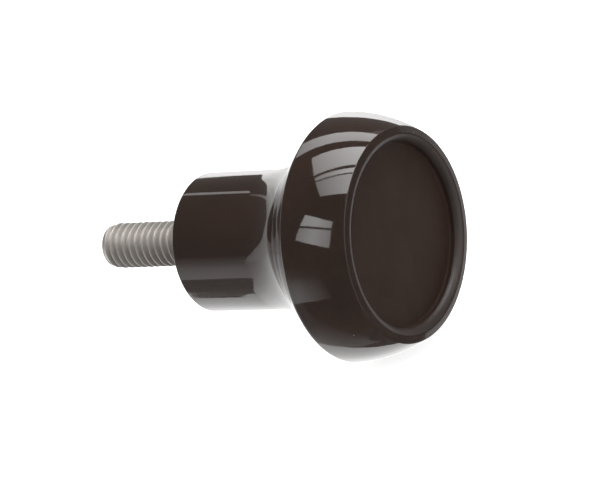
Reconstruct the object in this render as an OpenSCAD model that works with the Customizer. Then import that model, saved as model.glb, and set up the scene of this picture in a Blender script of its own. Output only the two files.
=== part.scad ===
// Moulded stud knob: a turned black head on a flared neck and round hub, with a steel screw moulded in.
// The axis lies along Y. The face looks towards -Y, the stud points towards +Y.
// The origin is on the axis, at the hub's seat. All lengths are in millimetres, all angles in degrees.

/* [Head] */
// Diameter of the head at its back rim, before the edge is rounded
head_d = 42.2; // [36:0.1:60]
// Length of the head, from the front corner to the back rim
head_l = 10.8; // [8:0.1:16]
// Diameter of the front corner, where the side meets the lip
lip_d = 36.3; // [34:0.1:40]
// Radius of the barrel curve of the head's side
side_r = 26.5; // [16:0.1:60]
// Rounding of the back rim
rim_round = 0.7; // [0.2:0.1:1.5]
// Rounding of the front corner
corner_round = 0.25; // [0.1:0.05:0.6]

/* [Face] */
// Diameter of the recess in the face
recess_d = 31.1; // [20:0.1:34]
// Depth of the recess, from the front corner to its floor
recess_depth = 1.85; // [1:0.05:5]
// Slope of the lip's land, from the front corner up to the crest
lip_slope = 8; // [2:1:20]
// Rounding from the lip's crest down into the recess
lip_round = 1.4; // [0.4:0.1:2]
// Fillet between the wall of the recess and its floor
floor_fillet = 0.4; // [0.1:0.1:1]

/* [Neck and hub] */
// Length of the moulding, from the front corner to the hub's seat
body_l = 40.2; // [32:0.1:60]
// Diameter of the hub
hub_d = 23.9; // [18:0.1:30]
// Angle between the head's sloped back and the plane of the face
back_angle = 45; // [20:1:55]
// Radius of the hollow curve of the neck
neck_r = 14.7; // [3:0.1:20]
// Rounding of the hub's edge at the seat
seat_round = 0.3; // [0.1:0.05:1]

/* [Stud] */
// Outside diameter of the thread
thread_d = 7.9; // [5:0.05:10]
// Length of the stud outside the hub
stud_l = 21.8; // [10:0.1:50]
// Length of the taper at the stud's tip
tip_l = 1.4; // [0.5:0.1:3]
// Diameter of the stud's end
tip_d = 7; // [3:0.1:7.8]
// Length of the plain shank inside the hub, from the seat to the hexagonal head
shank_l = 11; // [5:0.5:14]
// How much thicker the plain shank is than the thread
shank_over = 0.35; // [0:0.05:1]
// Width of the hexagonal head across its flats
hex_w = 12.7; // [10:0.1:14]
// Height of the hexagonal head
hex_h = 5.3; // [3:0.1:7]
// Slope of the bevel on the corners of the hexagonal head
hex_bevel = 30; // [15:1:45]

/* [Hidden] */
$fn = 96;

// Sections are drawn as [distance from the axis, place along the axis].
head_r = head_d / 2;
lip_r = lip_d / 2;
recess_r = recess_d / 2;
hub_r = hub_d / 2;
thread_r = thread_d / 2;
tip_r = tip_d / 2;
shank_r = thread_r + shank_over / 2;
hex_r = hex_w / 2 / cos(30);

// Front corner and back rim, with the outward directions of the lip's land and of the sloped back
front_y = -body_l;
rim_y = front_y + head_l;
corner = [lip_r, front_y];
rim = [head_r, rim_y];
land_out = [sin(lip_slope), -cos(lip_slope)];
back_out = [sin(back_angle), cos(back_angle)];

// Barrel side: the circle through the front corner and the back rim
side_c = arc_centre(corner, rim, side_r);
rim_c = rounding_centre(side_c, side_r, rim, back_out, rim_round);
corner_c = rounding_centre(side_c, side_r, corner, land_out, corner_round);

// Lip: its inner round touches the land and the wall of the recess, and keeps within both
lip_w = lip_r - recess_r;
land_y = front_y - lip_w * tan(lip_slope);
lip_q = min(lip_round, lip_w * 0.6, recess_depth * 0.75);
lip_c_r = recess_r + lip_q;
lip_c = [lip_c_r, front_y - (lip_r - lip_c_r) * tan(lip_slope) + lip_q / cos(lip_slope)];
floor_y = front_y + recess_depth;
floor_q = min(floor_fillet, floor_y - lip_c.y);

// Neck: a hollow round that touches the hub and the sloped back, and keeps within the back's width
back_w = head_r - 2 * rim_round - hub_r;
neck_q = min(neck_r, back_w / (1 - sin(back_angle)));
neck_c_r = hub_r + neck_q;
neck_c = [neck_c_r, rim_y + (neck_q - (neck_c_r - head_r) * sin(back_angle)) / cos(back_angle)];
neck_start = neck_c - neck_q * back_out;

// Room past an edge, so that cuts and joins pass clear of it
over = 2;

// Centre of the circle of radius r through p and q, to the left of the way from p to q
function arc_centre(p, q, r) =
    let (d = q - p, l = norm(d))
    (p + q) / 2 + [-d.y, d.x] / l * sqrt(r * r - l * l / 4);

// Centre of a round of radius q that touches the circle (c, r) from inside and the line through p
// with outward direction n, near p
function rounding_centre(c, r, p, n, q) =
    let (t = [-n.y, n.x], m = p - q * n, b = (m - c) * t)
    let (root = sqrt(b * b - (m - c) * (m - c) + (r - q) * (r - q)))
    m + t * (b > 0 ? root - b : -root - b);

function unit(v) = v / norm(v);

// What a round of radius r about c takes off an edge, between two directions from its centre
module round_off(c, r, from, to) {
    reach = 3 * r;
    translate(c)
        difference() {
            polygon([[0, 0], reach * from, reach * unit(from + to), reach * to]);
            circle(r);
        }
}

// Head: the barrel side, cut off by the lip's land in front and by the sloped back
module head_section() {
    land = [-land_out.y, land_out.x];
    back = [back_out.y, -back_out.x];
    intersection() {
        translate(side_c)
            circle(side_r);
        polygon([
            [0, front_y],
            [recess_r, land_y],
            corner + over * land,
            rim + over * back,
            neck_start,
            [0, rim_y],
        ]);
    }
}

// Neck and hub, from inside the head to the seat
module stem_section() {
    difference() {
        polygon([
            [0, rim_y],
            [neck_start.x, rim_y],
            neck_start,
            neck_c,
            [hub_r, neck_c.y],
            [hub_r, 0],
            [0, 0],
        ]);
        translate(neck_c)
            circle(neck_q);
    }
}

// The shallow recess in the face, with a filleted floor
module recess_section() {
    top_y = land_y - over;
    difference() {
        translate([0, top_y])
            square([recess_r, floor_y - top_y]);
        difference() {
            translate([recess_r - floor_q, floor_y - floor_q])
                square(floor_q + over);
            translate([recess_r - floor_q, floor_y - floor_q])
                circle(floor_q);
        }
    }
}

// Half section of the moulding
module body_section() {
    seat_c = [hub_r - seat_round, -seat_round];
    difference() {
        union() {
            head_section();
            stem_section();
        }
        recess_section();
        round_off(rim_c, rim_round, unit(rim_c - side_c), back_out);
        round_off(corner_c, corner_round, unit(corner_c - side_c), land_out);
        round_off(lip_c, lip_q, land_out, [-1, 0]);
        round_off(seat_c, seat_round, [1, 0], [0, 1]);
    }
}

// Hexagonal head with bevelled corners, hidden in the hub, its face towards the seat at the origin
module hex_head() {
    bevel = (hex_r - hex_w / 2) * tan(hex_bevel);
    intersection() {
        translate([0, 0, -hex_h])
            cylinder(h = hex_h, r = hex_r, $fn = 6);
        translate([0, 0, -hex_h])
            rotate_extrude()
                polygon([[0, 0], [hex_w / 2, 0], [hex_r, bevel], [hex_r, hex_h], [0, hex_h]]);
    }
}

// The whole screw along +Z, its seat plane at the origin
module screw() {
    translate([0, 0, -shank_l])
        hex_head();
    rotate_extrude()
        polygon([
            [0, -shank_l - hex_h / 2],
            [shank_r, -shank_l - hex_h / 2],
            [shank_r, 0],
            [thread_r, 0],
            [thread_r, stud_l - tip_l],
            [tip_r, stud_l],
            [0, stud_l],
        ]);
}

// Lays a shape that stands along Z down along Y
module lay() {
    rotate([-90, 0, 0])
        children();
}

// One moulding: head, neck and hub, closed round the screw
module knob_body() {
    color("#2b2421")
        lay()
            difference() {
                rotate_extrude()
                    body_section();
                screw();
            }
}

// Steel screw with its hexagonal head moulded in
module threaded_stud() {
    color("#9a958d")
        lay()
            screw();
}

knob_body();
threaded_stud();
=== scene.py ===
from math import atan2, cos, pi, radians, sin, sqrt, tan

import bmesh
import bpy
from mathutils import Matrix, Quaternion, Vector


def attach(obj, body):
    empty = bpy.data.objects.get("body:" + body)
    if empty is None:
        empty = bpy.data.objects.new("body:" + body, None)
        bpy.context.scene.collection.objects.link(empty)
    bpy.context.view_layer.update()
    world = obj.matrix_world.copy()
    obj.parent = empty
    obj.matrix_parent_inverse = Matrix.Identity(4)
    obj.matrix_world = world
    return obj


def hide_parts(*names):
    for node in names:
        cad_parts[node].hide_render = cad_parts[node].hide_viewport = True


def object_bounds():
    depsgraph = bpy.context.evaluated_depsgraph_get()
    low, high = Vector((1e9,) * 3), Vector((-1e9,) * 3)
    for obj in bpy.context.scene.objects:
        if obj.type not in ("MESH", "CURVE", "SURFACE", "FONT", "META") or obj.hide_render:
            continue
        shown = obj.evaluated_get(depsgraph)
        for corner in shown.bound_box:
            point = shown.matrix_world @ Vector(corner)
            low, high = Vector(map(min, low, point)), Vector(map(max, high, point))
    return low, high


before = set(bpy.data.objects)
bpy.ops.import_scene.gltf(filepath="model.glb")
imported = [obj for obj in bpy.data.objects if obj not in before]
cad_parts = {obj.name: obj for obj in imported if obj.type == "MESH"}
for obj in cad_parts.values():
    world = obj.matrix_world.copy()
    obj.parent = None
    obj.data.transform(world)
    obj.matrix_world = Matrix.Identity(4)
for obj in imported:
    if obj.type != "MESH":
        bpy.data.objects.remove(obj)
cad_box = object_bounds()

MM = 0.001
INCH = 25.4
WHITE = (1, 1, 1)

# Moulding: the same sizes as its solid, in millimetres
HEAD_D = 42.2
HEAD_L = 10.8
LIP_D = 36.3
SIDE_R = 26.5
RIM_ROUND = 0.7
CORNER_ROUND = 0.25
RECESS_D = 31.1
RECESS_DEPTH = 1.85
LIP_SLOPE = radians(8)
LIP_ROUND = 1.4
LIP_WIDTH_SHARE = 0.6
LIP_DEPTH_SHARE = 0.75
FLOOR_FILLET = 0.4
BODY_L = 40.2
HUB_D = 23.9
BACK_ANGLE = radians(45)
NECK_R = 14.7
SEAT_ROUND = 0.3

# Screw: outside of the thread, plain shank and hexagonal head, in millimetres
THREAD_D = 7.9
TURNS_PER_INCH = 18
PITCH = INCH / TURNS_PER_INCH
STUD_L = 21.8
TIP_L = 1.4
TIP_D = 7
SHANK_L = 11
SHANK_OVER = 0.35
SHANK_R = (THREAD_D + SHANK_OVER) / 2
HEX_W = 12.7
HEX_H = 5.3
HEX_BEVEL = radians(30)

# One pitch of the thread: (share of the pitch, share of the depth)
THREAD_FORM = [
    (0.0, 0.0), (0.05, 0.01), (0.09, 0.07), (0.21, 0.46), (0.33, 0.9),
    (0.4, 0.99), (0.5, 1.0), (0.6, 0.99), (0.67, 0.9), (0.79, 0.46),
    (0.91, 0.07), (0.95, 0.01),
]
DEPTH_PER_PITCH = 0.6134
THREAD_DEPTH = DEPTH_PER_PITCH * PITCH

# Run of the thread: turns before the seat, spare turns, place of the crests, and length of its end
TURNS_BEFORE = 1.5
SPARE_TURNS = 3
THREAD_PHASE = -0.35
RUNOUT = 0.8

# Fineness of the meshes
SEGMENTS = 288
THREAD_SEGMENTS = 160
ARC_STEP = radians(2.2)
ARC_MIN_STEPS = 6
LINE_STEP = 0.8
DOUBLED = 1e-4
CUT_SNAP = 1e-7
FLOOR_RINGS = 12
MOULDING_SHARP = radians(30)
SCREW_SHARP = radians(35)

# Materials of the moulding, in the order of their slots
GLOSS = 0
MATTE = 1
SATIN = 2

# Lip's inner round, in millimetres along Y: where the matte ends, and where it is smooth
MATTE_Y = -39.25
SATIN_Y = -39.9

# Tones of the darker and of the paler patches
GLOSS_TONES = ((0.0165, 0.0079, 0.0045), (0.0242, 0.0115, 0.0068))
MATTE_TONES = ((0.031, 0.0185, 0.0142), (0.038, 0.0235, 0.0182))
SATIN_TONES = ((0.021, 0.0125, 0.0092), (0.032, 0.0188, 0.0138))
STEEL_TONES = ((0.49, 0.46, 0.43), (0.6, 0.57, 0.54))
# Painted shade: the darker tone of the thread's grooves
GROOVE_SHADE_TONE = (0.46, 0.43, 0.4)
DUST_TONE = (0.16, 0.15, 0.14)

# Ends of the patterns that set roughness
PATTERN_ENDS = (0.3, 0.7)

# Roughness from the low to the high end of a pattern, and what grain, dust and dullness add to it
GLOSS_ROUGHNESS = (0.03, 0.07)
MATTE_ROUGHNESS = (0.34, 0.46)
SATIN_ROUGHNESS = (0.36, 0.46)
STEEL_ROUGHNESS = (0.58, 0.5)
GRAIN_ROUGHNESS = (-0.05, 0.07)
DUST_ROUGHNESS = 0.4
SATIN_DULL = 0.24

# Other values of the surfaces, with heights of the relief in millimetres
RESIN_IOR = 1.6
MATTE_SHINE = 0.05
STEEL_METALLIC = 0.97
PEEL_HEIGHT = 0.004
MATTE_GRAIN = 0.05
SATIN_GRAIN = 0.02
STEEL_GRAIN = 0.01
SPECK_CORE = 0.6

# Camera: where it aims and stands, as seen from the knob, with angles in degrees
IMAGE_W = 600
FOCAL_PX = 4201
SENSOR = 36
AIM = Vector((-0.094, -18.22, -0.199)) * MM
DISTANCE = 711.5 * MM
AZIMUTH = -51.74
ELEVATION = 19.33
ROLL = -16.78
CLIP_START = 0.01

# Floor and room: sizes in metres, then tone and levels of light
FLOOR_SIZE = 8
FLOOR_GAP = 0.05 * MM
FLOOR_TONE = (0.82, 0.82, 0.82)
FLOOR_ROUGHNESS = 0.9
FLOOR_GLOW = 0.85
ROOM = 0.22

# Stage: panels for light and reflections, placed from the middle of the head, at distances in metres
MIDDLE = Vector((0, -35.3, 0)) * MM
CEILING = 0.8
LEFT_WALL = 0.8
BACK = 3.0
BEHIND = 3.1
GROUND = 2.0
CARD_STEPS = 8

# Soft boxes: corners as shares of the distance to their plane
OVERHEAD = [(-0.574, 0.035), (0.12, 0.34), (0.712, -0.2), (-0.275, -0.712)]
STRIP = [(0.098, 0.64), (0.442, 0.711), (1.198, 0.095), (0.754, -0.012)]
LEFT = [(-0.145, 0.266), (-0.248, 0.789), (0.242, 0.971), (0.335, 0.421)]

# Their panes: shares along two opposite edges, then glow at the first edge, half-way and at the other
OVERHEAD_PANES = [
    ((0, 0.375), (0, 0.43), (2.3, 4.8, 7.0)),
    ((0.405, 0.485), (0.455, 0.55), (2.7, 5.8, 8.0)),
    ((0.54, 1), (0.61, 1), (3.2, 5.6, 7.5)),
]
STRIP_PANES = [((0, 1), (0, 1), (2.1, 3.8, 4.1))]
LEFT_PANES = [
    ((0, 0.62), (0, 0.42), (2.4, 3.6, 2.3)),
    ((0.7, 1), (0.5, 1), (2.8, 4.2, 3.6)),
]

# Bright wall round the back: (azimuth, elevation of its top, glow at the top, glow half-way down)
WALL_FOOT = -9
FOOT_GLOW = 1.2
WALL = [
    (100, 0, 1.8, 1.4), (109.5, 8, 3.0, 1.9), (113, 12.5, 3.2, 2.1), (117, 15.5, 3.4, 2.1),
    (122, 16, 3.3, 2.1), (128.5, 14.5, 3.0, 2.1), (131, 20, 3.1, 2.0), (134, 23, 2.9, 1.9),
    (138, 24, 2.4, 1.9), (146, 21.5, 2.3, 1.6), (152, 21, 1.9, 1.0), (157, 20, 1.4, 1.0),
    (162, 20, 1.0, 0.9), (167, 13, 0.9, 0.8), (170, 8.5, 0.85, 0.8), (189, 4, 0.9, 1.1),
    (206, 2.5, 1.0, 1.15), (221, -2.5, 0.9, 1.0), (226, -6, 0.7, 0.8),
]

# Two thin lights at the back: azimuth at both ends, then elevation and glow at the foot and at the top
RIM_LIGHTS = [((151.5, 156.5), (46, 2.0), (56, 2.0)), ((159.5, 162.5), (19, 1.0), (46.5, 0.7))]

# Paper sweep behind the knob: its free edge as (azimuth, elevation), then azimuths of its middle and end
SWEEP_EDGE = [
    (226, -9), (224, -20), (214.5, -30), (211.5, -38.6), (208.8, -44.3),
    (205, -47.6), (196.5, -50.2), (190, -51.9), (187, -53.2),
]
SWEEP_MIDDLE = 182
SWEEP_END = 100

# Its glow at the free edge, in the middle and at the end
SWEEP_TOP_GLOW = (0.8, 1.4, 0.8)
SWEEP_FOOT_GLOW = (1.9, 2.3, 1.9)

# Cards: (elevation, azimuth at the left and right, glow at the left, in the middle and at the right)
GREY_CARD = [
    (-1, 268, 226, 0.2, 0.25, 0.32),
    (-9, 268, 226, 0.22, 0.42, 0.66),
    (-16, 268, 225, 0.25, 1.0, 1.0),
    (-23, 268, 221, 0.3, 1.3, 1.12),
    (-30.5, 268, 214, 0.3, 1.4, 1.1),
]
# Painted shadow: a dim card below the knob, seen only in the gloss, that stands in for the knob's shadow on
# the paper
PAINTED_SHADOW_CARD = [
    (-30.5, 242, 212, 0.42, 0.42, 0.42),
    (-42, 240, 206, 0.36, 0.38, 0.38),
    (-50, 240, 196, 0.3, 0.42, 0.45),
    (-58, 240, 186, 0.3, 0.6, 1.0),
    (-70, 244, 172, 0.25, 0.55, 0.6),
    (-80, 240, 150, 0.25, 0.5, 0.5),
]
FRONT_CARD = [
    (60, -60, 24, 0.4, 0.95, 1.2),
    (38, -60, 24, 0.3, 1.05, 1.65),
    (5, -60, 24, 0.22, 0.9, 1.2),
    (-15, -60, 24, 0.22, 0.7, 0.95),
    (-40, -60, 24, 0.22, 0.55, 0.85),
]
SIDE_CARD = [
    (41, 56, 100, 0.5, 0.6, 0.6),
    (5, 56, 100, 0.25, 0.3, 0.35),
    (-13, 56, 100, 0.5, 0.75, 1.0),
    (-28, 56, 100, 0.75, 1.1, 1.5),
    (-42, 56, 100, 1.4, 1.9, 2.3),
]

# Paper below: corners as shares of the depth of its plane
PAPER_GLOW = 1.95
PAPER = [
    (12, 0), (3, 0.05), (0.28, 0.25), (0.11, 0.32), (-0.01, 0.43), (-0.12, 0.62), (-0.14, 0.8),
    (0.3, 0.8), (0.7, 1.05), (4.7, 7), (12, 7),
]

# Small sheet close below the hub, placed in the same way from a point low on the hub
HUB_EDGE = Vector((-11, -14.1, -5.3)) * MM
NEAR_DEPTH = 0.09
NEAR_PAPER = [(-0.28, 0.787), (-0.14, 0.78), (-0.1, 0.72), (-0.28, 0.74)]


def unit(v):
    return v / v.length


def arc_centre(p, q, r):
    """Centre of the circle of radius r through p and q, to the left of the way from p to q."""
    d = q - p
    side = Vector((-d.y, d.x)) / d.length
    return (p + q) / 2 + side * sqrt(r * r - d.length_squared / 4)


def rounding_centre(c, r, p, n, q):
    """Centre of a round of radius q inside circle (c, r), touching it and the line through p, normal n."""
    t = Vector((-n.y, n.x))
    m = p - q * n
    b = (m - c).dot(t)
    root = sqrt(b * b - (m - c).length_squared + (r - q) ** 2)
    return m + t * (root - b if b > 0 else -root - b)


def arc(c, r, start, end):
    """Points of the shorter arc about c, from direction start to direction end."""
    a = atan2(start.y, start.x)
    turn = (atan2(end.y, end.x) - a + pi) % (2 * pi) - pi
    steps = max(ARC_MIN_STEPS, round(abs(turn) / ARC_STEP))
    angles = [a + turn * i / steps for i in range(steps + 1)]
    return [c + r * Vector((cos(t), sin(t))) for t in angles]


def moulding_section():
    """Points of (distance from the axis, place along Y) from the floor's edge round to the end of the bore.

    Also gives the place along Y where the lip's inner round ends.
    """
    head_r, lip_r, recess_r, hub_r = HEAD_D / 2, LIP_D / 2, RECESS_D / 2, HUB_D / 2
    front_y = -BODY_L
    floor_y = front_y + RECESS_DEPTH
    rim_y = front_y + HEAD_L
    corner = Vector((lip_r, front_y))
    rim = Vector((head_r, rim_y))
    inward = Vector((-1, 0))
    outward = Vector((1, 0))
    back_up = Vector((0, 1))
    land = Vector((sin(LIP_SLOPE), -cos(LIP_SLOPE)))
    back = Vector((sin(BACK_ANGLE), cos(BACK_ANGLE)))
    side_c = arc_centre(corner, rim, SIDE_R)
    rim_c = rounding_centre(side_c, SIDE_R, rim, back, RIM_ROUND)
    corner_c = rounding_centre(side_c, SIDE_R, corner, land, CORNER_ROUND)
    lip_q = min(LIP_ROUND, (lip_r - recess_r) * LIP_WIDTH_SHARE, RECESS_DEPTH * LIP_DEPTH_SHARE)
    lip_x = recess_r + lip_q
    lip_c = Vector((lip_x, front_y - (lip_r - lip_x) * tan(LIP_SLOPE) + lip_q / cos(LIP_SLOPE)))
    fillet = min(FLOOR_FILLET, floor_y - lip_c.y)
    fillet_c = Vector((recess_r - fillet, floor_y - fillet))
    neck_x = hub_r + NECK_R
    neck_c = Vector((neck_x, rim_y + (NECK_R - (neck_x - head_r) * sin(BACK_ANGLE)) / cos(BACK_ANGLE)))
    seat_c = Vector((hub_r - SEAT_ROUND, -SEAT_ROUND))
    outline = arc(fillet_c, fillet, back_up, outward)
    outline += arc(lip_c, lip_q, inward, land)
    lip_end = outline[-1].y
    outline += arc(corner_c, CORNER_ROUND, land, unit(corner_c - side_c))
    outline += arc(side_c, SIDE_R, unit(corner_c - side_c), unit(rim_c - side_c))
    outline += arc(rim_c, RIM_ROUND, unit(rim_c - side_c), back)
    outline += arc(neck_c, NECK_R, -back, inward)
    outline += arc(seat_c, SEAT_ROUND, outward, back_up)
    outline += [Vector((SHANK_R, 0)), Vector((SHANK_R, -SHANK_L))]
    return split_long(outline), lip_end


def split_long(points):
    """The same outline with points added on its long straight runs, and none doubled."""
    out = [points[0]]
    for p in points[1:]:
        d = p - out[-1]
        if d.length < DOUBLED:
            continue
        parts = max(1, round(d.length / LINE_STEP))
        out += [out[-1] + d * i / parts for i in range(1, parts + 1)]
    return out


def first_in_front(section, y):
    """Number of the section's first point that lies in front of a place along Y."""
    return next(i for i, p in enumerate(section) if p.y < y)


def hex_radius(angle):
    """Distance from the axis to the side of the hexagonal head, flats towards Z."""
    return HEX_W / 2 / cos((angle + pi / 6) % (pi / 3) - pi / 6)


def ring(bm, radius, y, segments):
    """A ring of vertices round the Y axis; radius is a number or a function of the angle."""
    out = []
    for i in range(segments):
        a = 2 * pi * i / segments
        r = radius(a) if callable(radius) else radius
        out.append(bm.verts.new((r * sin(a) * MM, y * MM, r * cos(a) * MM)))
    return out


def join_rings(bm, rings, material=0):
    """Faces between each ring and the next, all of the same count."""
    for a, b in zip(rings, rings[1:]):
        for i in range(len(a)):
            j = (i + 1) % len(a)
            face = bm.faces.new((a[i], b[i], b[j], a[j]))
            face.material_index = material
            face.smooth = True


def cap(bm, ring_verts, y, material=0):
    """A fan from a ring to a point on the axis."""
    middle = bm.verts.new((0, y * MM, 0))
    for i, v in enumerate(ring_verts):
        face = bm.faces.new((v, ring_verts[(i + 1) % len(ring_verts)], middle))
        face.material_index = material
        face.smooth = True


def hex_rings(bm, segments):
    """Rings of the hexagonal head, from its face at the shank to its bevelled end, and that end's place."""
    end_y = -SHANK_L - HEX_H
    bevel = HEX_W / 2 * (1 / cos(pi / 6) - 1) * tan(HEX_BEVEL)
    return [
        ring(bm, hex_radius, -SHANK_L, segments),
        ring(bm, hex_radius, end_y + bevel, segments),
        ring(bm, HEX_W / 2, end_y, segments),
    ], end_y


def add_object(name, data):
    """An object with this data, put into the scene."""
    obj = bpy.data.objects.new(name, data)
    bpy.context.scene.collection.objects.link(obj)
    return obj


def mesh_object(name, bm, materials, sharp):
    """Makes an object of the mesh, with edges sharper than the given angle left sharp."""
    bmesh.ops.recalc_face_normals(bm, faces=bm.faces)
    mesh = bpy.data.meshes.new(name)
    bm.to_mesh(mesh)
    bm.free()
    mesh.set_sharp_from_angle(angle=sharp)
    for m in materials:
        mesh.materials.append(m)
    return add_object(name, mesh)


def make_moulding(gloss, matte, satin):
    """The turned head, neck and hub, closed round the screw's cavity.

    The recess is matte, the rest of the lip's inner round is satin, and all else is gloss.
    """
    bm = bmesh.new()
    section, lip_end = moulding_section()
    edge = section[0]
    satin_at = first_in_front(section, MATTE_Y)
    gloss_at = first_in_front(section, lip_end)
    floor = [ring(bm, edge.x * i / FLOOR_RINGS, edge.y, SEGMENTS) for i in range(1, FLOOR_RINGS)]
    rings = [ring(bm, p.x, p.y, SEGMENTS) for p in section]
    cavity, end_y = hex_rings(bm, SEGMENTS)
    cap(bm, floor[0], edge.y, MATTE)
    join_rings(bm, floor + rings[:satin_at + 1], MATTE)
    join_rings(bm, rings[satin_at:gloss_at + 1], SATIN)
    join_rings(bm, rings[gloss_at:] + cavity, GLOSS)
    cap(bm, cavity[-1], end_y, GLOSS)
    return mesh_object("knob_moulding", bm, [gloss, matte, satin], MOULDING_SHARP)


def thread_radius(y, depth):
    """Radius of the thread at a place along the stud: cut by the taper, and running out at the end."""
    taper = min(1.0, max(0.0, (y - STUD_L + TIP_L) / TIP_L))
    outside = THREAD_D / 2 + (TIP_D - THREAD_D) / 2 * taper
    left = min(1.0, max(0.0, (STUD_L - y) / RUNOUT))
    fade = left * left * (3 - 2 * left)
    return min(outside, THREAD_D / 2 - THREAD_DEPTH * depth * fade)


def make_thread(bm):
    """The helical thread surface along +Y, right-handed, longer at both ends than the stud."""
    turns = int(STUD_L / PITCH) + SPARE_TURNS
    n = len(THREAD_FORM)
    columns = []
    for k in range(THREAD_SEGMENTS):
        a = 2 * pi * k / THREAD_SEGMENTS
        column = []
        for i in range(turns * n):
            share, depth = THREAD_FORM[i % n]
            y = (i // n + share + k / THREAD_SEGMENTS - TURNS_BEFORE + THREAD_PHASE) * PITCH
            r = thread_radius(y, depth)
            column.append(bm.verts.new((r * sin(a) * MM, y * MM, r * cos(a) * MM)))
        columns.append(column)
    for k, here in enumerate(columns):
        wraps = k == THREAD_SEGMENTS - 1
        there = columns[0] if wraps else columns[k + 1]
        step = n if wraps else 0
        for i in range(turns * n - 1 - step):
            bm.faces.new((here[i], here[i + 1], there[i + 1 + step], there[i + step])).smooth = True


def trim(bm, y, side):
    """Cuts the mesh at a plane across the axis and returns the edges of the cut."""
    cut = bmesh.ops.bisect_plane(
        bm, geom=bm.verts[:] + bm.edges[:] + bm.faces[:], dist=CUT_SNAP,
        plane_co=(0, y * MM, 0), plane_no=(0, side, 0), clear_outer=True,
    )
    return [e for e in cut["geom_cut"] if isinstance(e, bmesh.types.BMEdge)]


def make_stud(steel):
    """The whole screw: helical thread, flat end, plain shank and hexagonal head."""
    bm = bmesh.new()
    make_thread(bm)
    tip_edges = trim(bm, STUD_L, 1)
    seat_edges = trim(bm, 0, -1)
    bmesh.ops.triangle_fill(bm, edges=tip_edges, use_beauty=True, use_dissolve=False)
    shoulder = ring(bm, SHANK_R, 0, SEGMENTS)
    loop = [bm.edges.new((shoulder[i - 1], v)) for i, v in enumerate(shoulder)]
    bmesh.ops.triangle_fill(bm, edges=seat_edges + loop, use_beauty=True, use_dissolve=False)
    foot = ring(bm, SHANK_R, -SHANK_L, SEGMENTS)
    head, end_y = hex_rings(bm, SEGMENTS)
    join_rings(bm, [shoulder, foot] + head)
    cap(bm, head[-1], end_y)
    return mesh_object("threaded_screw", bm, [steel], SCREW_SHARP)


class Shader:
    """A node material with short calls to add and join nodes."""

    # Places of the colour sockets among the Mix node's sockets
    MIX_A = 6
    MIX_B = 7
    MIX_RESULT = 2

    def __init__(self, name):
        self.material = bpy.data.materials.new(name)
        self.material.use_nodes = True
        self.nodes = self.material.node_tree.nodes
        self.links = self.material.node_tree.links
        self.bsdf = self.nodes["Principled BSDF"]

    def add(self, kind, **values):
        """A new node, with values for its sockets and settings."""
        node = self.nodes.new("ShaderNode" + kind)
        for key, value in values.items():
            if key in node.inputs:
                node.inputs[key].default_value = value
            else:
                setattr(node, key, value)
        return node

    def feed(self, value, socket):
        """Joins another node's output to a socket, or sets the socket to a number or colour."""
        if isinstance(value, bpy.types.NodeSocket):
            self.links.new(value, socket)
        else:
            socket.default_value = (*value, 1) if isinstance(value, tuple) else value

    def set(self, **values):
        """Feeds the surface shader's own sockets."""
        for key, value in values.items():
            self.feed(value, self.bsdf.inputs[key.replace("_", " ")])

    def place(self):
        """Object coordinates, which are the part's own frame in metres."""
        return self.add("TexCoord").outputs["Object"]

    def axes(self, place):
        """The X, Y and Z of a place."""
        node = self.add("SeparateXYZ")
        self.feed(place, node.inputs["Vector"])
        return node.outputs

    def noise(self, place, scale, detail=3.0, roughness=0.5):
        node = self.add("TexNoise", Scale=scale, Detail=detail, Roughness=roughness)
        self.feed(place, node.inputs["Vector"])
        return node.outputs["Fac"]

    def specks(self, place, scale, size):
        """Small round spots, about one for each cell of the scale."""
        node = self.add("TexVoronoi", Scale=scale, Randomness=1.0)
        self.feed(place, node.inputs["Vector"])
        return self.spread(node.outputs["Distance"], size * SPECK_CORE, size, 1.0, 0.0)

    def ramp(self, value, tones, low, high):
        """A colour that goes from the first tone to the second as value goes from low to high."""
        node = self.add("ValToRGB")
        self.feed(value, node.inputs["Fac"])
        for element, position, tone in zip(node.color_ramp.elements, (low, high), tones):
            element.position = position
            element.color = (*tone, 1)
        return node.outputs["Color"]

    def spread(self, value, low, high, start=0.0, end=1.0):
        """A number that goes from start to end as value goes from low to high."""
        node = self.add("MapRange", clamp=True)
        for key, v in zip(("From Min", "From Max", "To Min", "To Max"), (low, high, start, end)):
            node.inputs[key].default_value = v
        self.feed(value, node.inputs["Value"])
        return node.outputs["Result"]

    def calculate(self, operation, *values):
        node = self.add("Math", operation=operation)
        for value, socket in zip(values, node.inputs):
            self.feed(value, socket)
        return node.outputs["Value"]

    def plus(self, a, b):
        return self.calculate("ADD", a, b)

    def times(self, a, b):
        return self.calculate("MULTIPLY", a, b)

    def mix(self, share, a, b):
        """A colour between a and b."""
        node = self.add("Mix", data_type="RGBA")
        self.feed(share, node.inputs["Factor"])
        self.feed(a, node.inputs[self.MIX_A])
        self.feed(b, node.inputs[self.MIX_B])
        return node.outputs[self.MIX_RESULT]

    def bump(self, height, distance, strength=1.0):
        node = self.add("Bump", Strength=strength, Distance=distance)
        self.feed(height, node.inputs["Height"])
        return node.outputs["Normal"]


def gloss_material():
    """Polished black thermoset: brownish black, with faint flow mottling, haze, dust and a slight peel."""
    s = Shader("gloss_moulding")
    place = s.place()
    tone = s.ramp(s.noise(place, scale=90, detail=5), GLOSS_TONES, low=0.35, high=0.65)
    dusty = s.spread(s.noise(place, scale=60), low=0.55, high=0.62)
    dust = s.times(s.specks(place, scale=420, size=0.05), dusty)
    haze = s.spread(s.noise(place, scale=260, detail=6), *PATTERN_ENDS, *GLOSS_ROUGHNESS)
    peel = s.noise(place, scale=700, detail=1)
    s.set(
        Base_Color=s.mix(dust, tone, DUST_TONE),
        Roughness=s.plus(haze, s.times(dust, DUST_ROUGHNESS)),
        IOR=RESIN_IOR,
        Normal=s.bump(peel, PEEL_HEIGHT * MM),
    )
    return s.material


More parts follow.
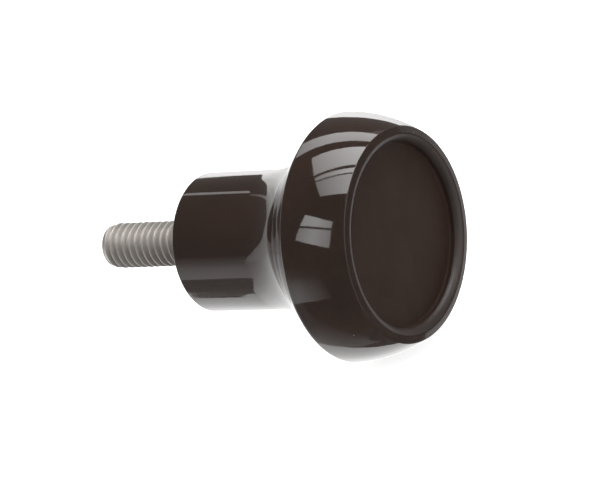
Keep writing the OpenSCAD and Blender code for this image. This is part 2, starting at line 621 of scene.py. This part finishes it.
def matte_material():
    """Recess with the start of the lip's inner round: the same moulding with a fine, dull grain."""
    s = Shader("matte_recess")
    place = s.place()
    tone = s.ramp(s.noise(place, scale=120, detail=4), MATTE_TONES, low=0.3, high=0.7)
    grain = s.noise(place, scale=3200, detail=4, roughness=0.65)
    s.set(
        Base_Color=tone,
        Roughness=s.spread(grain, *PATTERN_ENDS, *MATTE_ROUGHNESS),
        Specular_IOR_Level=MATTE_SHINE,
        IOR=RESIN_IOR,
        Normal=s.bump(grain, MATTE_GRAIN * MM, strength=0.5),
    )
    return s.material


def satin_material():
    """Rest of the lip's inner round: dull at the matte recess, then smoother towards the crest."""
    s = Shader("satin_lip")
    place = s.place()
    dull = s.spread(s.axes(place)["Y"], MATTE_Y * MM, SATIN_Y * MM, SATIN_DULL, 0.0)
    tone = s.ramp(s.noise(place, scale=90, detail=5), SATIN_TONES, low=0.35, high=0.65)
    grain = s.noise(place, scale=2400, detail=4, roughness=0.6)
    s.set(
        Base_Color=tone,
        Roughness=s.plus(dull, s.spread(grain, *PATTERN_ENDS, *SATIN_ROUGHNESS)),
        IOR=RESIN_IOR,
        Normal=s.bump(grain, SATIN_GRAIN * MM, strength=0.4),
    )
    return s.material


def steel_material():
    """Dull rolled steel: painted shade darkens the grooves, the crests are smoother, with mottling and a
    fine grain.
    """
    s = Shader("rolled_steel")
    place = s.place()
    axes = s.axes(place)
    x, z = axes["X"], axes["Z"]
    across = s.calculate("SQRT", s.plus(s.times(x, x), s.times(z, z)))
    crest_r = THREAD_D / 2 * MM
    # Share from the thread's root to its crest: it sets the painted shade in the grooves and the smoother
    # crests
    crest_share = s.spread(across, crest_r - THREAD_DEPTH * MM, crest_r)
    mottle = s.noise(place, scale=900, detail=5, roughness=0.6)
    tone = s.ramp(mottle, STEEL_TONES, low=0.3, high=0.7)
    rough = s.spread(crest_share, 0.0, 1.0, *STEEL_ROUGHNESS)
    grain = s.noise(place, scale=5200, detail=3)
    s.set(
        # Painted shade: the grooves take the darker groove tone
        Base_Color=s.mix(crest_share, GROOVE_SHADE_TONE, tone),
        Metallic=STEEL_METALLIC,
        Roughness=s.plus(rough, s.spread(grain, *PATTERN_ENDS, *GRAIN_ROUGHNESS)),
        Normal=s.bump(grain, STEEL_GRAIN * MM, strength=0.6),
    )
    return s.material


def glow_material():
    """Glows as strongly as the panel's own values say."""
    s = Shader("panel_glow")
    s.nodes.remove(s.bsdf)
    level = s.add("Attribute", attribute_name="glow")
    light = s.add("Emission")
    s.feed(level.outputs["Fac"], light.inputs["Strength"])
    s.feed(light.outputs["Emission"], s.nodes["Material Output"].inputs["Surface"])
    return s.material


def panel(name, points, faces, levels):
    """A stage piece whose glow runs smoothly from corner to corner."""
    mesh = bpy.data.meshes.new(name)
    mesh.from_pydata([tuple(p) for p in points], [], faces)
    mesh.attributes.new("glow", "FLOAT", "POINT").data.foreach_set("value", levels)
    mesh.materials.append(panel_glow)
    obj = add_object(name, mesh)
    obj.visible_camera = False
    obj.visible_shadow = False
    return obj


def panes(name, corners, parts):
    """A soft box in panes, each a strip from the first edge of the box to the opposite one."""
    a, b, c, d = corners
    for i, (near, far, glow) in enumerate(parts):
        sides = [(a.lerp(b, n), d.lerp(c, f)) for n, f in zip(near, far)]
        points = [start.lerp(end, share) for start, end in sides for share in (0, 0.5, 1)]
        panel(f"{name}_{i}", points, [(0, 1, 4, 3), (1, 2, 5, 4)], [*glow, *glow])


def towards(azimuth, elevation):
    """Direction from the knob, in degrees; azimuth 0 is towards -Y and 90 towards +X."""
    a, e = radians(azimuth), radians(elevation)
    return Vector((sin(a) * cos(e), -cos(a) * cos(e), sin(e)))


def patch(name, rows, distance=BACK):
    """A curved panel round the knob, through rows of (azimuth, elevation, glow)."""
    width = len(rows[0])
    stations = [s for row in rows for s in row]
    points = [MIDDLE + distance * towards(azimuth, elevation) for azimuth, elevation, glow in stations]
    corners = [i for i in range(len(points) - width) if i % width < width - 1]
    faces = [(i, i + 1, i + 1 + width, i + width) for i in corners]
    return panel(name, points, faces, [glow for azimuth, elevation, glow in stations])


def row_through(azimuths, elevation, glows):
    """Evenly numbered stations of (azimuth, elevation, glow) along a row, through the given ones."""
    ends = [(azimuth, elevation, glow) for azimuth, glow in zip(azimuths, glows)]
    out = []
    for i in range(CARD_STEPS + 1):
        place = i / CARD_STEPS * (len(ends) - 1)
        k = min(int(place), len(ends) - 2)
        out.append(tuple(a + (b - a) * (place - k) for a, b in zip(ends[k], ends[k + 1])))
    return out


def card(name, rows, distance=BACK):
    """A curved card round the knob, with its glow given at the left, in the middle and at the right."""
    stations = []
    for elevation, left, right, *glow in rows:
        stations.append(row_through((left, (left + right) / 2, right), elevation, glow))
    return patch(name, stations, distance)


def paper_sweep():
    """The paper that curves up behind the knob, brighter towards its foot."""
    top, foot = SWEEP_EDGE[0][1], SWEEP_EDGE[-1][1]
    rows = []
    for edge, elevation in SWEEP_EDGE:
        share = (top - elevation) / (top - foot)
        glow = [a + (b - a) * share for a, b in zip(SWEEP_TOP_GLOW, SWEEP_FOOT_GLOW)]
        rows.append(row_through((edge, SWEEP_MIDDLE, SWEEP_END), elevation, glow))
    return patch("paper_sweep", rows)


def sheet_below(name, corners, start, depth):
    """A flat sheet below a place on the knob, which shows only in reflections."""
    points = [start + depth * Vector((x, y, -1)) for x, y in corners]
    sheet = panel(name, points, [tuple(range(len(points)))], [PAPER_GLOW] * len(points))
    sheet.visible_diffuse = False


def panels():
    """Soft boxes, the bright wall and thin lights at the back, cards, and paper behind and below."""
    overhead = [MIDDLE + CEILING * Vector((x, y, 1)) for x, y in OVERHEAD]
    strip = [MIDDLE + CEILING * Vector((x, y, 1)) for x, y in STRIP]
    left = [MIDDLE + LEFT_WALL * Vector((-1, y, z)) for y, z in LEFT]
    panes("overhead_box", overhead, OVERHEAD_PANES)
    panes("strip_box", strip, STRIP_PANES)
    panes("left_box", left, LEFT_PANES)
    high = [(a, top, glow) for a, top, glow, middle in WALL]
    half = [(a, (top + WALL_FOOT) / 2, middle) for a, top, glow, middle in WALL]
    foot = [(a, WALL_FOOT, FOOT_GLOW) for a, top, glow, middle in WALL]
    patch("back_wall", [high, half, foot])
    for i, (azimuths, *ends) in enumerate(RIM_LIGHTS):
        patch(f"rim_light_{i}", [[(a, elevation, glow) for a in azimuths] for elevation, glow in ends])
    card("front_card", FRONT_CARD)
    card("side_card", SIDE_CARD)
    paper_sweep().visible_diffuse = False
    card("grey_card", GREY_CARD, BEHIND).visible_diffuse = False
    # The painted shadow card stands in for the knob's shadow on the paper below
    card("painted_shadow_card", PAINTED_SHADOW_CARD, BEHIND).visible_diffuse = False
    sheet_below("paper_below", PAPER, MIDDLE, GROUND)
    sheet_below("near_paper", NEAR_PAPER, HUB_EDGE, NEAR_DEPTH)


def make_floor():
    """A pale floor under the rim, white to the camera; in the gloss, the paper panels stand in for it."""
    low = cad_box[0].z - FLOOR_GAP
    s = Shader("floor_paper")
    path = s.add("LightPath").outputs
    seen = s.plus(path["Is Camera Ray"], path["Is Transmission Ray"])
    s.set(
        Base_Color=FLOOR_TONE,
        Roughness=FLOOR_ROUGHNESS,
        Emission_Color=WHITE,
        Emission_Strength=s.times(seen, FLOOR_GLOW),
    )
    corners = [(-1, -1), (1, -1), (1, 1), (-1, 1)]
    mesh = bpy.data.meshes.new("floor")
    mesh.from_pydata([(x * FLOOR_SIZE, y * FLOOR_SIZE, low) for x, y in corners], [], [(0, 1, 2, 3)])
    mesh.materials.append(s.material)
    floor = add_object("floor", mesh)
    floor.visible_glossy = False


def make_world():
    """White to the camera, and a dim room to all else."""
    world = bpy.data.worlds.new("room")
    bpy.context.scene.world = world
    world.use_nodes = True
    nodes, links = world.node_tree.nodes, world.node_tree.links
    ray = nodes.new("ShaderNodeLightPath")
    level = nodes.new("ShaderNodeMapRange")
    level.inputs["To Min"].default_value = ROOM
    level.inputs["To Max"].default_value = 1
    links.new(ray.outputs["Is Camera Ray"], level.inputs["Value"])
    links.new(level.outputs["Result"], nodes["Background"].inputs["Strength"])
    nodes["Background"].inputs["Color"].default_value = (*WHITE, 1)


def make_camera():
    """The camera at the photograph's viewing angle."""
    back = towards(AZIMUTH, ELEVATION)
    data = bpy.data.cameras.new("camera")
    data.sensor_width = SENSOR
    data.lens = FOCAL_PX * SENSOR / IMAGE_W
    data.clip_start = CLIP_START
    obj = add_object("camera", data)
    obj.location = AIM + back * DISTANCE
    obj.rotation_mode = "QUATERNION"
    obj.rotation_quaternion = (-back).to_track_quat("-Z", "Y") @ Quaternion((0, 0, 1), radians(ROLL))
    bpy.context.scene.camera = obj


bpy.context.scene.view_settings.view_transform = "Standard"
make_camera()
panel_glow = glow_material()
panels()
make_floor()
make_world()

moulding = make_moulding(gloss_material(), matte_material(), satin_material())
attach(moulding, "root")
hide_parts("knob_body")

stud = make_stud(steel_material())
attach(stud, "root")
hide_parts("threaded_stud")
